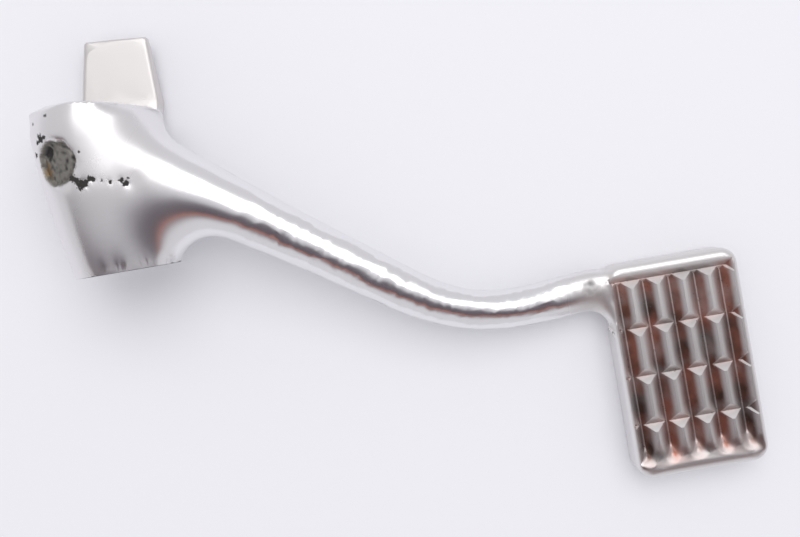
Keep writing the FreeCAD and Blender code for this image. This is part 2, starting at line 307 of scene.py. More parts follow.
def ragged(places, grain, shift=0.0):
    """Smooth noise from about -1 to 1, one value for each place, that changes over the grain's length."""
    offset = Vector((shift, shift, shift))
    return np.array([noise.noise(Vector(place) / grain + offset) for place in places])


def relax(places, share, rounds):
    """Pull each point toward the mean of its neighbours, by its own share, a number of times."""
    here = np.concatenate((links[:, 0], links[:, 1]))
    there = np.concatenate((links[:, 1], links[:, 0]))
    count = np.bincount(here, minlength=len(places))
    for _ in range(rounds):
        sums = [np.bincount(here, places[there, axis], len(places)) / count for axis in range(3)]
        places = places + share[:, None] * (np.stack(sums, axis=1) - places)
    return places


# %% [markdown]
# ## The boss swells
# A hand-finished casting has no plain cone. The side of the boss away from the arm swells by about a
# millimetre between its ends.

# %% Swell the boss
BOSS_START = Vector((-0.7, 0.0, 0.0))
BOSS_LEAN = math.radians(2.4)
BOSS_ENDS = (-23.9, 20.6)
BOSS_RADII = (13.7, 17.8)
SWELL = 0.95
SWELL_SIDE = (-0.3, 0.55)
SWELL_FRONT = 14.0
SWELL_END = BOSS_ENDS[1] - 2.0
ON_CONE = 0.09
SHORTEST_SPOKE = 1e-6

boss_axis = np.array([-math.sin(BOSS_LEAN), math.cos(BOSS_LEAN), 0.0])


def around_boss(places):
    """Each place's run along the boss's axis, its spoke from the axis, the spoke's length and the cone's."""
    run = (places - np.array(BOSS_START)) @ boss_axis
    spoke = places - np.array(BOSS_START) - run[:, None] * boss_axis
    reach = np.maximum(np.linalg.norm(spoke, axis=1), SHORTEST_SPOKE)
    flare = (BOSS_RADII[1] - BOSS_RADII[0]) / (BOSS_ENDS[1] - BOSS_ENDS[0])
    cone = BOSS_RADII[0] + (run - BOSS_ENDS[0]) * flare
    return run, spoke, reach, cone


def swelled(places, chosen):
    """Put the chosen places on the boss's swelled side, at their own run and direction."""
    run, spoke, reach, cone = around_boss(places)
    middle = sum(BOSS_ENDS) / 2
    half = (BOSS_ENDS[1] - BOSS_ENDS[0]) / 2
    bow = np.clip(1.0 - ((run - middle) / half) ** 2, 0.0, 1.0)
    wanted = cone + SWELL * bow * fade(*SWELL_SIDE, -spoke[:, 0] / reach)
    return np.where(chosen[:, None], places + spoke / reach[:, None] * (wanted - reach)[:, None], places)


run, spoke, reach, cone = around_boss(points)
on_cone = (np.abs(reach - cone) < ON_CONE) & (points[:, 0] < SWELL_FRONT) & (run < SWELL_END)
points = swelled(points, on_cone)
print("swelled points:", int(on_cone.sum()))

# %% [markdown]
# ## Rounder corners
# The boss's rear corner is turned in and let down. Its rim and the lug are then relaxed, which takes off the
# crisp edges that the solid has.

# %% Round the rear corner, the rim and the lug
BORE_CLEAR = (12.5, 13.5)
BOSS_OUTER_END = (-23.4, -21.5)
CORNER_TURN = 1.0
CORNER_DROP = 2.2
CORNER_RUN = (12.0, 22.0)
CORNER_SIDE = (-0.1, 0.7)
CORNER_REACH = (12.2, 16.0)
CORNER_INBOARD = 25.0
CORNER_LOW = -11.0
RIM_START = (14.5, 18.0)
RIM_STOP = (23.5, 21.5)
RIM_ROUNDS = 16
LUG_ROOT = (23.5, 26.0)
LUG_ROUNDS = 8
out_of_bore = fade(*BORE_CLEAR, np.linalg.norm(points[:, [0, 2]], axis=1))
off_ends = fade(*BOSS_OUTER_END, points[:, 1])
run, spoke, reach, cone = around_boss(points)
corner = fade(*CORNER_RUN, run) ** 2 * fade(*CORNER_SIDE, -spoke[:, 0] / reach) * fade(*CORNER_REACH, reach)
corner = corner * (points[:, 1] < CORNER_INBOARD) * (points[:, 2] > CORNER_LOW)
points = points - spoke / reach[:, None] * (CORNER_TURN * corner)[:, None]
points[:, 1] -= CORNER_DROP * corner
rim = fade(*RIM_START, points[:, 1]) * fade(*RIM_STOP, points[:, 1])
points = relax(points, PULL * rim * out_of_bore, RIM_ROUNDS)
points = relax(points, PULL * fade(*LUG_ROOT, points[:, 1]), LUG_ROUNDS)
print("corner points:", int((corner > 0.0).sum()))

# %% [markdown]
# ## Grooves that run out
# At the pad's outboard edge the long grooves run out softly, where the solid has crisp hipped ends.

# %% Run the grooves out
RUN_OUT_START = (-97.0, -99.5)
RUN_OUT_STOP = (-105.0, -104.0)
RUN_OUT_REAR = (PAD_REAR + 0.8, PAD_REAR + 2.0)
RUN_OUT_FRONT = (PAD_REAR + 36.0, PAD_REAR + 34.5)
RUN_OUT_ROUNDS = 24
run_out = fade(*RUN_OUT_START, points[:, 1]) * fade(*RUN_OUT_STOP, points[:, 1])
run_out = run_out * fade(*RUN_OUT_REAR, points[:, 0]) * fade(*RUN_OUT_FRONT, points[:, 0])
run_out = run_out * (points[:, 2] > PAD_TOP - TREAD_DEPTH)
points = relax(points, PULL * run_out, RUN_OUT_ROUNDS)
print("run-out points:", int((run_out > 0.0).sum()))

# %% [markdown]
# ## The arm flows into boss and pad
# The hollows where the arm meets the boss and the pad are filled by relaxing the skin there, which works as
# a finger works filler into a corner. The boss is then dished toward its outboard end, less where its wall
# is thin.

# %% Flow the arm and dish the boss
ARM_ROOT = np.array((13.0, -4.0, 11.0))
ARM_ROOT_SPREAD = 12.5
ARM_ROOT_ROUNDS = 220
SCOOP = (7.0, -26.0)
SCOOP_REACH = (11.0, 20.0)
SCOOP_DEPTH = 1.3
SCOOP_LOW = 4.0
THIN_WALL = 11.6
WALL_RISE = 2.0
WEB = np.array((124.0, -61.0, -11.0))
WEB_SPREAD = 6.3
WEB_ROUNDS = 60
WEB_FRONT = (PAD_REAR + 1.5, PAD_REAR + 0.5)
away = np.linalg.norm(points - ARM_ROOT, axis=1)
at_root = np.exp(-(away / ARM_ROOT_SPREAD) ** 2) * out_of_bore * off_ends
points = relax(points, PULL * at_root, ARM_ROOT_ROUNDS)
scoop_x = (points[:, 0] - SCOOP[0]) / SCOOP_REACH[0]
scoop_y = (points[:, 1] - SCOOP[1]) / SCOOP_REACH[1]
wall = np.clip((np.hypot(points[:, 0], points[:, 2]) - THIN_WALL) / WALL_RISE, 0.0, 1.0)
scoop = np.clip(1.0 - np.hypot(scoop_x, scoop_y) ** 2, 0.0, 1.0) ** 2 * (points[:, 2] > SCOOP_LOW) * wall
points[:, 2] -= SCOOP_DEPTH * scoop
away = np.linalg.norm(points - WEB, axis=1)
at_web = np.exp(-(away / WEB_SPREAD) ** 2) * fade(*WEB_FRONT, points[:, 0])
points = relax(points, PULL * at_web, WEB_ROUNDS)
print("dished points:", int((scoop > 0.0).sum()))

# %% [markdown]
# ## The crater
# Gas left a spongy patch in the top of the boss, and a tool or a stone has opened it to a ragged crater
# with rings on its uphill wall. It is a formula in the distance from its middle, with a ragged edge, and
# the depth is pushed into the skin. A dark mark keeps how dark a place is, from dirt and from painted
# shade, `crust` how rough and `rust` how brown.

# %% Open the crater
CRATER_BASE = 12.5
BOWL_EDGE = (1.0, 0.86)
BOWL_DEPTH = 1.3
BOWL_ROUGHNESS = 0.14
UPHILL = np.array((0.82, 0.1, 0.5))
RING_TURN = 19.0
RING_BAND = (0.45, 0.9)
LEDGE_SIDE = (-0.1, 0.5)
LEDGE_HEIGHT = 0.5
CRUST_EDGE = (1.04, 0.95)
facing = np.array(CRATER_FACING)
from_middle = points - np.array(CRATER)
height = from_middle @ facing
flat = from_middle - height[:, None] * facing
in_reach = np.linalg.norm(from_middle, axis=1) < CRATER_ZONE
near_crater = np.where(in_reach & (around_boss(points)[2] > CRATER_BASE))[0]
crater_skin = points[near_crater]
edge_noise = ragged(crater_skin, 2.2)
fine_noise = ragged(crater_skin, 0.7, 5.0)
patches = ragged(crater_skin, 1.1, 9.0)
out = np.linalg.norm(flat[near_crater], axis=1) / CRATER_RADIUS + 0.10 * edge_noise + 0.03 * fine_noise
uphill = flat[near_crater] @ UPHILL / CRATER_RADIUS
bowl = fade(*BOWL_EDGE, out)
rings = 0.5 + 0.5 * np.cos(out * RING_TURN)
ledge = fade(*LEDGE_SIDE, uphill) * bowl
depth = BOWL_DEPTH * bowl - LEDGE_HEIGHT * ledge * fade(*RING_BAND, out) * rings
depth = depth + BOWL_ROUGHNESS * fine_noise * bowl
# Random blotches of dirt, and painted shade in bands: the lower ring steps darker, the raised ones lighter.
blotches = 0.36 + 0.7 * patches + 0.15 * fine_noise + 0.5 * ledge * (0.5 - rings)
print("crater points:", len(near_crater))

# %% [markdown]
# ## A hole and a stain in the crater
# One gas bubble goes deeper than the rest and is painted black as painted shade, and rust has run below it.

# %% Sink the hole and mark the crater
HOLE = np.array((-11.4, 9.0, 13.2))
HOLE_RADIUS = 2.3
HOLE_EDGE = (1.0, 0.35)
HOLE_DEPTH = 1.0
HOLE_PAINTED_SHADE = 1.1
STAIN = np.array((-12.6, 4.4, 11.6))
STAIN_RADIUS = 3.2
STAIN_EDGE = (1.0, 0.2)
STAIN_STRENGTH = 0.8
hole_out = np.linalg.norm(crater_skin - HOLE, axis=1) / HOLE_RADIUS + 0.25 * edge_noise
hole = fade(*HOLE_EDGE, hole_out)
stain_out = np.linalg.norm(crater_skin - STAIN, axis=1) / STAIN_RADIUS + 0.5 * patches
sunk = np.maximum(depth, 0.0) + HOLE_DEPTH * hole
grime_and_shade, crust, rust = np.zeros((3, len(points)))
# The hole's black is painted shade; the blotches are dirt.
grime_and_shade[near_crater] = np.clip(blotches * bowl + HOLE_PAINTED_SHADE * hole, 0.0, 1.0)
crust[near_crater] = fade(*CRUST_EDGE, out)
rust[near_crater] = STAIN_STRENGTH * fade(*STAIN_EDGE, stain_out) * bowl
points[near_crater] -= facing * sunk[:, None]
print("crater's deepest place:", round(float(sunk.max()), 2), "mm")

# %% [markdown]
# ## The pits
# Small pores run from the crater across the boss. Each row has a pore's X, Y, radius and depth.

# %% Sink the pits
PIT_LOW = 4.0
PIT_GRAIN = 0.5
PIT_RAGGED = 0.75
PIT_SINK = 0.25
PITS = [
    (-5.2, 1.5, 0.9, 0.5), (-4.2, 0.6, 0.8, 0.5), (-3.1, -0.6, 1.35, 0.9), (-1.8, -0.2, 0.7, 0.4),
    (-0.7, 0.6, 0.85, 0.6), (0.3, 0.1, 0.5, 0.3), (2.0, -0.4, 0.35, 0.3), (3.8, -1.1, 0.5, 0.3),
    (6.4, -0.9, 0.6, 0.5), (7.3, -1.9, 0.8, 0.6), (8.0, -0.6, 0.35, 0.3),
    (-12.2, 12.8, 0.9, 0.4), (-11.0, 13.0, 0.6, 0.4), (-13.6, 12.2, 0.5, 0.3), (-15.4, 9.6, 0.7, 0.4),
    (-9.9, 18.2, 0.45, 0.25), (-14.4, 17.2, 0.35, 0.25), (-5.7, 15.8, 0.35, 0.2), (-2.2, 7.6, 0.35, 0.25),
]
upper = points[:, 2] > PIT_LOW
for x, y, radius, deep in PITS:
    gap = np.hypot(points[:, 0] - x, points[:, 1] - y)
    near = np.where((gap < 2.0 * radius) & upper)[0]
    off_middle = gap[near] / radius + PIT_RAGGED * ragged(points[near], PIT_GRAIN, x)
    points[near, 2] -= PIT_SINK * deep * fade(0.9, 0.2, off_middle)
    grime_and_shade[near] = np.maximum(grime_and_shade[near], fade(1.35, 0.7, off_middle))
print("pits:", len(PITS))

# %% [markdown]
# ## A burr by the pad
# Where the arm's web runs into the pad's side, a crumb of flash from the mould was never filed off. It is a
# small ragged swelling of the skin, with a dirty crack beside it.

# %% Raise the burr
BURR = np.array((126.8, -63.4, -11.0))
BURR_REACH = 3.0
BURR_HEIGHT = 1.6
normals = point_normals(points, faces)
near = np.where(np.linalg.norm(points - BURR, axis=1) < BURR_REACH)[0]
burr_out = np.linalg.norm(points[near] - BURR, axis=1) / BURR_REACH
crumbs = ragged(points[near], 0.9, 2.0)
lump = fade(1.0, 0.3, burr_out) * np.clip(0.45 + crumbs, 0.0, 1.0)
points[near] += normals[near] * (BURR_HEIGHT * lump)[:, None]
rust[near] = np.maximum(rust[near], 0.35 * lump)
grime_and_shade[near] = np.maximum(grime_and_shade[near], fade(-0.15, -0.45, crumbs) * fade(1.0, 0.6, burr_out))
print("burr points:", len(near))

# %% [markdown]
# ## Uneven polishing
# A polishing wheel leaves slow waves. They are far too shallow to see as shape, but they bend reflections,
# so the boss does not look machine-made.

# %% Waves in the skin
WAVE = 0.06
WAVE_LENGTH = 9.0
WAVE_FRONT = (34.0, 28.0)
WAVE_REACH = (12.2, 13.2)
normals = point_normals(points, faces)
polished = fade(*WAVE_FRONT, points[:, 0]) * fade(*WAVE_REACH, np.linalg.norm(points[:, [0, 2]], axis=1))
points = points + normals * (WAVE * polished * ragged(points, WAVE_LENGTH, 3.0))[:, None]
print("wave height:", WAVE, "mm")

# %% [markdown]
# ## Soil and painted reflection in the tread
# A material can read named values, here called marks, that are stored on the points. Soil lies deep in the
# tread, and how much lies on a face follows the way it points, as painted reflection: most on the sides of the
# ridges that face back toward the boss, while the notch walls that face inboard are left nearly bare. The
# pad's outboard border gets some as painted shade over the lamp's highlight. Grit lies only at the bottoms of
# the grooves.

# %% Work out soil, painted reflection and grit
TREAD_ENDS = (-103.6, -47.4)
TREAD_SIDES = (PAD_REAR + 0.6, PAD_REAR + 36.2)
OTHER_SIDES_SHARE = 0.5
depth_and_run_out = fade(0.15, 1.1, PAD_TOP - points[:, 2])
# Painted shade: the pad's outboard border gets soil as well, which tones down the lamp's highlight there.
depth_and_run_out = np.maximum(depth_and_run_out, 0.7 * fade(-98.0, -99.5, points[:, 1]))
in_tread = (
    fade(TREAD_SIDES[0], TREAD_SIDES[0] + 0.8, points[:, 0])
    * fade(TREAD_SIDES[1], TREAD_SIDES[1] - 0.8, points[:, 0])
    * fade(TREAD_ENDS[0], TREAD_ENDS[0] + 1.0, points[:, 1])
    * fade(TREAD_ENDS[1], TREAD_ENDS[1] - 1.0, points[:, 1])
    * fade(PAD_TOP - 3.2, PAD_TOP - 2.6, points[:, 2])
)
# Painted reflection: faces that point back toward the boss keep all their soil, others only a share, and notch
# walls facing inboard are left nearly bare.
painted_dark_side = OTHER_SIDES_SHARE + (1.0 - OTHER_SIDES_SHARE) * fade(0.15, -0.35, normals[:, 0])
painted_bright_walls = 1.0 - 0.75 * fade(0.15, 0.45, normals[:, 1]) * fade(-99.0, -97.0, points[:, 1])
soil_and_reflection = in_tread * depth_and_run_out * painted_dark_side * painted_bright_walls * (0.95 + 0.35 * ragged(points, 4.0, 1.0))
grit = np.clip(soil_and_reflection * fade(1.4, 1.9, PAD_TOP - points[:, 2]), 0.0, 1.0)
print("soiled points:", int((soil_and_reflection > 0.5).sum()))

# %% [markdown]
# ## Dull places and painted shade
# The wheel could not reach the bore, the web between arm and pad or the lug, so they are dull, and boss and
# pad are partly so. The bore's mouth and the boss's outboard end face are painted dark as painted shade, and
# the crease where the arm meets the pad is darkened in specks.

# %% Work out dullness, grime and painted shade
LUG_SIDE = (19.5, 21.0)
LUG_TOP = -11.0
DULL_WEB = np.array((124.5, -54.0, -9.0))
DULL_WEB_SPREAD = 7.5
DULL_WEB_FRONT = (PAD_REAR + 1.0, PAD_REAR - 0.5)
DULL_BOSS = 0.35
DULL_PAD = 0.7
BRIGHT_SCOOP = (8.0, -15.0)
BRIGHT_SCOOP_SPREAD = 11.0
CREASE = np.array((123.5, -50.5, -8.0))
CREASE_SPREAD = 3.2
MOUTH = (-20.0, -23.0)
MOUTH_FACING = (-0.75, -0.95)
MOUTH_FRONT = 20.0
around_web = np.exp(-(np.linalg.norm(points - DULL_WEB, axis=1) / DULL_WEB_SPREAD) ** 2)
around_web = around_web * fade(*DULL_WEB_FRONT, points[:, 0])
on_lug = fade(*LUG_SIDE, points[:, 1]) * (points[:, 2] < LUG_TOP)
on_pad = fade(PAD_REAR - 1.0, PAD_REAR + 1.0, points[:, 0])
in_bore = fade(12.6, 12.0, np.linalg.norm(points[:, [0, 2]], axis=1)) * (np.abs(points[:, 1]) < 26.0)
off_scoop = np.hypot(points[:, 0] - BRIGHT_SCOOP[0], points[:, 1] - BRIGHT_SCOOP[1])
in_scoop = np.exp(-(off_scoop**2) / BRIGHT_SCOOP_SPREAD**2)
on_boss = DULL_BOSS * fade(26.0, 6.0, points[:, 0]) * (1.0 - in_scoop)
dull = np.clip(on_lug + on_boss + around_web + DULL_PAD * on_pad + in_bore + crust, 0.0, 1.0)
crease = np.exp(-(np.linalg.norm(points - CREASE, axis=1) / CREASE_SPREAD) ** 2)
speck = crease * (0.7 + 0.6 * ragged(points, 1.6, 7.0))
# Painted shade: the bore's mouth and the boss's outboard end face are made dark.
mouth_end = fade(*MOUTH, points[:, 1])
painted_end_shade = np.maximum(in_bore * mouth_end, fade(*MOUTH_FACING, normals[:, 1]) * mouth_end)
painted_end_shade = painted_end_shade * (points[:, 0] < MOUTH_FRONT)
grime_and_shade = np.clip(grime_and_shade + 0.75 * speck + painted_end_shade, 0.0, 1.0)
print("grimy points:", int((grime_and_shade > 0.5).sum()))

# %% [markdown]
# ## The mesh and its marks
# The array becomes a mesh in metres, and the six marks go with it as point attributes. Edges that turn
# sharply stay crisp and the rest is shaded smooth.

# %% Make the mesh
SHARP_ANGLE = math.radians(32)
mesh = bpy.data.meshes.new("pedal_casting")
mesh.from_pydata((points * MM).tolist(), [], faces.tolist())
print("mesh needed mending:", mesh.validate())
marks = {"grime_and_shade": grime_and_shade, "soil_and_reflection": soil_and_reflection, "dull": dull, "grit": grit, "crust": crust, "rust": rust}
for name, values in marks.items():
    mark = mesh.attributes.new(name, "FLOAT", "POINT")
    mark.data.foreach_set("value", values.astype(np.float32))
mesh.polygons.foreach_set("use_smooth", [True] * len(mesh.polygons))
mesh.set_sharp_from_angle(angle=SHARP_ANGLE)

# %% [markdown]
# ## Calm reflections
# The skin's triangles are of many shapes, and polished metal shows each one as a flaw. The points stay where
# they are, and the directions that the shading uses are averaged with their neighbours' on the boss and the
# arm. Pores, the boss's outboard end and sharp edges are left out, but on top of the boss the averaging goes
# over sharp edges too. Everywhere else the mesh keeps its own directions.

# %% Average the shading directions
CALM_ROUNDS = 40
CALM_FRONT = (PAD_REAR - 1.0, PAD_REAR - 5.0)
CALM_INBOARD = 19.0
CALM_OUTBOARD = (-22.5, -20.5)
BOSS_TOP_LOW = 6.0
BOSS_TOP_HALF = 14.0
clean = fade(0.25, 0.1, grime_and_shade) * fade(0.3, 0.1, crust)
calm = fade(*CALM_FRONT, points[:, 0]) * (points[:, 1] < CALM_INBOARD) * clean
for edge in mesh.edges:
    if edge.use_edge_sharp:
        calm[list(edge.vertices)] = 0.0
boss_top = (points[:, 2] > BOSS_TOP_LOW) & np.all(np.abs(points[:, :2]) < BOSS_TOP_HALF, axis=1)
boss_y = np.where(points[:, 0] < MOUTH_FRONT, points[:, 1], 0.0)
calm = np.where(boss_top, clean, calm) * fade(*CALM_OUTBOARD, boss_y)
own = np.zeros(3 * len(mesh.vertices))
mesh.vertex_normals.foreach_get("vector", own)
averaged = relax(own.reshape(-1, 3), PULL * calm, CALM_ROUNDS)
averaged = averaged / np.linalg.norm(averaged, axis=1)[:, None]
corners = np.zeros(3 * len(mesh.loops))
mesh.corner_normals.foreach_get("vector", corners)
at_vertex = np.zeros(len(mesh.loops), dtype=np.int32)
mesh.loops.foreach_get("vertex_index", at_vertex)
shown = np.where(calm[at_vertex][:, None] > 0.0, averaged[at_vertex], corners.reshape(-1, 3))
mesh.normals_split_custom_set(shown.tolist())
casting = bpy.data.objects.new("pedal_casting", mesh)
bpy.context.scene.collection.objects.link(casting)
print("casting:", len(mesh.vertices), "vertices,", len(mesh.polygons), "triangles")

# %% [markdown]
# ## The metal
# Bare aluminium has one colour, and its looks come from how rough it is. The material starts polished, mixes
# in a satin finish where the dull mark is high, tints the grooves with soil and painted reflection, and fills
# the pores with dirt that hardly mirrors; the same black is painted shade in the crater's hole and at the
# boss's outboard end.
# Fine scratches are a stretched noise in the bump.


# %% Material helpers
def new_material(name):
    made = bpy.data.materials.new(name)
    made.use_nodes = True
    return made, made.node_tree, made.node_tree.nodes["Principled BSDF"]


def mark_value(tree, name):
    """The stored mark of that name, as a value for other nodes."""
    node = tree.nodes.new("ShaderNodeAttribute")
    node.attribute_name = name
    return node.outputs["Fac"]


def object_noise(tree, scale, detail, stretch=(1.0, 1.0, 1.0)):
    """Noise on the piece's own coordinates, so that it stays put when the piece moves."""
    place = tree.nodes.new("ShaderNodeTexCoord")
    mapping = tree.nodes.new("ShaderNodeMapping")
    mapping.inputs["Scale"].default_value = stretch
    grain = tree.nodes.new("ShaderNodeTexNoise")
    grain.inputs["Scale"].default_value = scale
    grain.inputs["Detail"].default_value = detail
    tree.links.new(place.outputs["Object"], mapping.inputs["Vector"])
    tree.links.new(mapping.outputs["Vector"], grain.inputs["Vector"])
    return grain.outputs["Fac"]


def sharpen(tree, value, low, high):
    """0 below low and 1 above high."""
    node = tree.nodes.new("ShaderNodeMapRange")
    node.inputs["From Min"].default_value = low
    node.inputs["From Max"].default_value = high
    tree.links.new(value, node.inputs["Value"])
    return node.outputs["Result"]


def blend(tree, share, one, other, kind="FLOAT"):
    """Mix two values or two colours by a share. Each is a number, a colour or another node's output."""
    node = tree.nodes.new("ShaderNodeMix")
    node.data_type = kind
    sockets = {"FLOAT": (2, 3, 0), "RGBA": (6, 7, 2)}[kind]
    tree.links.new(share, node.inputs["Factor"])
    for socket, value in zip(sockets, (one, other)):
        if isinstance(value, bpy.types.NodeSocket):
            tree.links.new(value, node.inputs[socket])
        else:
            node.inputs[socket].default_value = value
    return node.outputs[sockets[2]]


print("material helpers ready")

# %% [markdown]
# ## One metal in layers
# Each blend lays one thing over what is below it: satin, crust, soil that is partly painted reflection, rust
# and pores that are partly painted shade, in the colour, and most of them in the roughness too.

# %% Polished aluminium
BARE = (0.86, 0.85, 0.86, 1.0)
SATIN = (0.71, 0.685, 0.67, 1.0)
SOIL_DARK = (0.10, 0.062, 0.048, 1.0)
# Soil runs from dark brown to red; the red is partly a painted warm reflection.
SOIL_RED_AND_WARM_REFLECTION = (0.40, 0.17, 0.125, 1.0)
CRUST_GREY = (0.30, 0.29, 0.265, 1.0)
RUST = (0.34, 0.21, 0.09, 1.0)
PORE_AND_SHADE_BLACK = (0.035, 0.032, 0.030, 1.0)
CLOUD_SCALE = 90.0
CLOUD_DETAIL = 4.0
SCRATCH_SCALE = 500.0
SCRATCH_DETAIL = 3.0
SCRATCH_STRETCH = (0.25, 1.0, 1.0)
SCRATCH_STRENGTH = 0.10
SCRATCH_DEPTH = 0.05 * MM
PORE_EDGE = (0.25, 0.85)
SOIL_EDGE = (0.38, 0.62)
BRIGHT_ROUGHNESS = (0.15, 0.25)
DULL_ROUGHNESS = 0.45
SOIL_ROUGHNESS = 0.34
CRUST_ROUGHNESS = 0.60
PORE_ROUGHNESS = 0.85
PORE_METALLIC = 0.1

metal, tree, shader = new_material("polished_aluminium")
cloud = object_noise(tree, CLOUD_SCALE, CLOUD_DETAIL)
scratch = object_noise(tree, SCRATCH_SCALE, SCRATCH_DETAIL, SCRATCH_STRETCH)
grime_and_shade_mark = mark_value(tree, "grime_and_shade")
soil_and_reflection_mark = mark_value(tree, "soil_and_reflection")
dull_mark = mark_value(tree, "dull")
crust_mark = mark_value(tree, "crust")
rust_mark = mark_value(tree, "rust")
# Pore black: dirt in the pits and the crack, painted shade in the crater's hole and at the outboard end.
pore_and_shade = sharpen(tree, grime_and_shade_mark, *PORE_EDGE)
soil_and_reflection_colour = blend(tree, sharpen(tree, cloud, *SOIL_EDGE), SOIL_DARK, SOIL_RED_AND_WARM_REFLECTION, "RGBA")
colour = blend(tree, dull_mark, BARE, SATIN, "RGBA")
colour = blend(tree, crust_mark, colour, CRUST_GREY, "RGBA")
colour = blend(tree, soil_and_reflection_mark, colour, soil_and_reflection_colour, "RGBA")
colour = blend(tree, rust_mark, colour, RUST, "RGBA")
colour = blend(tree, pore_and_shade, colour, PORE_AND_SHADE_BLACK, "RGBA")
tree.links.new(colour, shader.inputs["Base Color"])
roughness = blend(tree, cloud, *BRIGHT_ROUGHNESS)
roughness = blend(tree, dull_mark, roughness, DULL_ROUGHNESS)
roughness = blend(tree, soil_and_reflection_mark, roughness, SOIL_ROUGHNESS)
roughness = blend(tree, crust_mark, roughness, CRUST_ROUGHNESS)
roughness = blend(tree, pore_and_shade, roughness, PORE_ROUGHNESS)
tree.links.new(roughness, shader.inputs["Roughness"])
metallic = blend(tree, pore_and_shade, 1.0, PORE_METALLIC)
tree.links.new(metallic, shader.inputs["Metallic"])
bump = tree.nodes.new("ShaderNodeBump")
bump.inputs["Strength"].default_value = SCRATCH_STRENGTH
bump.inputs["Distance"].default_value = SCRATCH_DEPTH
tree.links.new(scratch, bump.inputs["Height"])
tree.links.new(bump.outputs["Normal"], shader.inputs["Normal"])
mesh.materials.append(metal)
print("material:", metal.name, "with", len(tree.nodes), "nodes")

# %% [markdown]
# ## Grit in the grooves
# Road grit packs into the bottoms of the grooves. It is brown, dry and not metal.

# %% Grit material
GRIT_BROWN = (0.10, 0.07, 0.055, 1.0)
GRIT_ROUGHNESS = 0.9
dirt, _, dirt_shader = new_material("road_grit")
dirt_shader.inputs["Base Color"].default_value = GRIT_BROWN
dirt_shader.inputs["Roughness"].default_value = GRIT_ROUGHNESS
print("material:", dirt.name)

# %% [markdown]
# ## A tree that scatters grains
# Grit is many small grains on a surface, so a Geometry Nodes tree scatters it: points on the faces, denser
# where the grit mark is high, a small ball with few faces on each, then real geometry with its own material,
# because the export drops instances.

# %% Build the tree
GRAIN_SIZES = (0.4, 1.3)


def grit_scatter():
    """A tree with named inputs that puts grains on a surface by its grit mark."""
    group = bpy.data.node_groups.new("grit_scatter", "GeometryNodeTree")
    face = group.interface
    face.new_socket("Surface", in_out="INPUT", socket_type="NodeSocketGeometry")
    sockets = {
        "grain": face.new_socket("Grain radius", in_out="INPUT", socket_type="NodeSocketFloat"),
        "density": face.new_socket("Grains per square metre", in_out="INPUT", socket_type="NodeSocketFloat"),
        "seed": face.new_socket("Seed", in_out="INPUT", socket_type="NodeSocketInt"),
    }
    face.new_socket("Grains", in_out="OUTPUT", socket_type="NodeSocketGeometry")
    start = group.nodes.new("NodeGroupInput")
    end = group.nodes.new("NodeGroupOutput")
    mark = group.nodes.new("GeometryNodeInputNamedAttribute")
    mark.data_type = "FLOAT"
    mark.inputs["Name"].default_value = "grit"
    amount = group.nodes.new("ShaderNodeMath")
    amount.operation = "MULTIPLY"
    scatter = group.nodes.new("GeometryNodeDistributePointsOnFaces")
    ball = group.nodes.new("GeometryNodeMeshIcoSphere")
    ball.inputs["Subdivisions"].default_value = 1
    sizes = group.nodes.new("FunctionNodeRandomValue")
    sizes.data_type = "FLOAT"
    sizes.inputs[2].default_value = GRAIN_SIZES[0]
    sizes.inputs[3].default_value = GRAIN_SIZES[1]
    place = group.nodes.new("GeometryNodeInstanceOnPoints")
    real = group.nodes.new("GeometryNodeRealizeInstances")
    finish = group.nodes.new("GeometryNodeSetMaterial")
    finish.inputs["Material"].default_value = dirt
    join = group.links.new
    join(mark.outputs["Attribute"], amount.inputs[0])
    join(start.outputs["Grains per square metre"], amount.inputs[1])
    join(start.outputs["Surface"], scatter.inputs["Mesh"])
    join(amount.outputs["Value"], scatter.inputs["Density"])
    join(start.outputs["Seed"], scatter.inputs["Seed"])
    join(start.outputs["Grain radius"], ball.inputs["Radius"])
    join(scatter.outputs["Points"], place.inputs["Points"])
    join(ball.outputs["Mesh"], place.inputs["Instance"])
    join(sizes.outputs[1], place.inputs["Scale"])
    join(place.outputs["Instances"], real.inputs["Geometry"])
    join(real.outputs["Geometry"], finish.inputs["Geometry"])
    join(finish.outputs["Geometry"], end.inputs["Grains"])
    return group, sockets


group, sockets = grit_scatter()
print("tree:", group.name, "with", len(group.nodes), "nodes")

# %% [markdown]
# ## Scattering the grit
# A helper object carries the modifier. Its result is kept as a plain mesh, and the helper goes.

# %% Scatter the grit
GRAIN_RADIUS = 0.13 * MM
GRAINS_PER_SQUARE_METRE = 1.1e6
GRAIN_SEED = 4
host = bpy.data.objects.new("grit_host", mesh)
bpy.context.scene.collection.objects.link(host)
modifier = host.modifiers.new("grit_scatter", "NODES")
modifier.node_group = group
modifier[sockets["grain"].identifier] = GRAIN_RADIUS
modifier[sockets["density"].identifier] = GRAINS_PER_SQUARE_METRE
modifier[sockets["seed"].identifier] = GRAIN_SEED
depsgraph = bpy.context.evaluated_depsgraph_get()
grains = bpy.data.meshes.new_from_object(host.evaluated_get(depsgraph))
bpy.data.objects.remove(host)
grains.name = "groove_grit"
groove_grit = bpy.data.objects.new("groove_grit", grains)
bpy.context.scene.collection.objects.link(groove_grit)
print("grit:", len(grains.polygons), "triangles")

# %% [markdown]
# ## Onto the frame
# Both pieces belong to the one body. The dressed casting stands for the CAD node.

# %% Ride and replace
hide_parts(NODE)
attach(casting, "root")
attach(groove_grit, "root")
print("on the frame:", casting.name, groove_grit.name)

# %% [markdown]
# ## Floor, light and room
# The pedal lies on a white table under a soft lamp. What makes polished metal look like metal is what it
# mirrors: a white room, and a dark figure with something warm behind it, leaning over the table from the
# near side. Floor and figure are flat cards of their own, not attached to the part.


